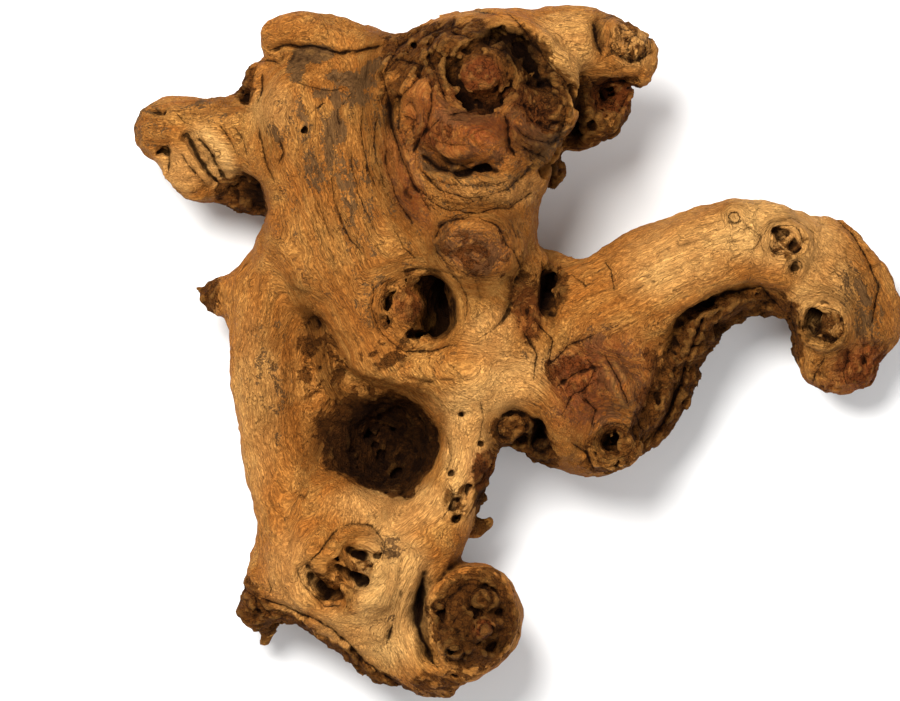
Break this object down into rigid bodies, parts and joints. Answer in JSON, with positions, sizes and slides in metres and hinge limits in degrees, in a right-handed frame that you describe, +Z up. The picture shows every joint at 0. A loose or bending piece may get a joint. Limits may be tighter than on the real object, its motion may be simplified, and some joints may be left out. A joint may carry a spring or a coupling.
{
  "type": "mopani wood",
  "caption": "Gnarled piece of mopani driftwood: a burled crown and trunk with a deep hollow, an arched arm to the right and a foot with a round stump, lying on its back.",
  "frame": {"origin": "on the table, under the middle of the piece's length and width", "axes": "+X from the left arm to the right arm, +Y from the foot to the crown, +Z up from the table"},
  "size_m": [0.29, 0.2598, 0.1046],
  "materials": {
    "mopani_wood": "weathered, sand-blasted, matt"
  },
  "bodies": {
    "root": {"mopani_wood": "mopani_wood"}
  },
  "joints": []
}
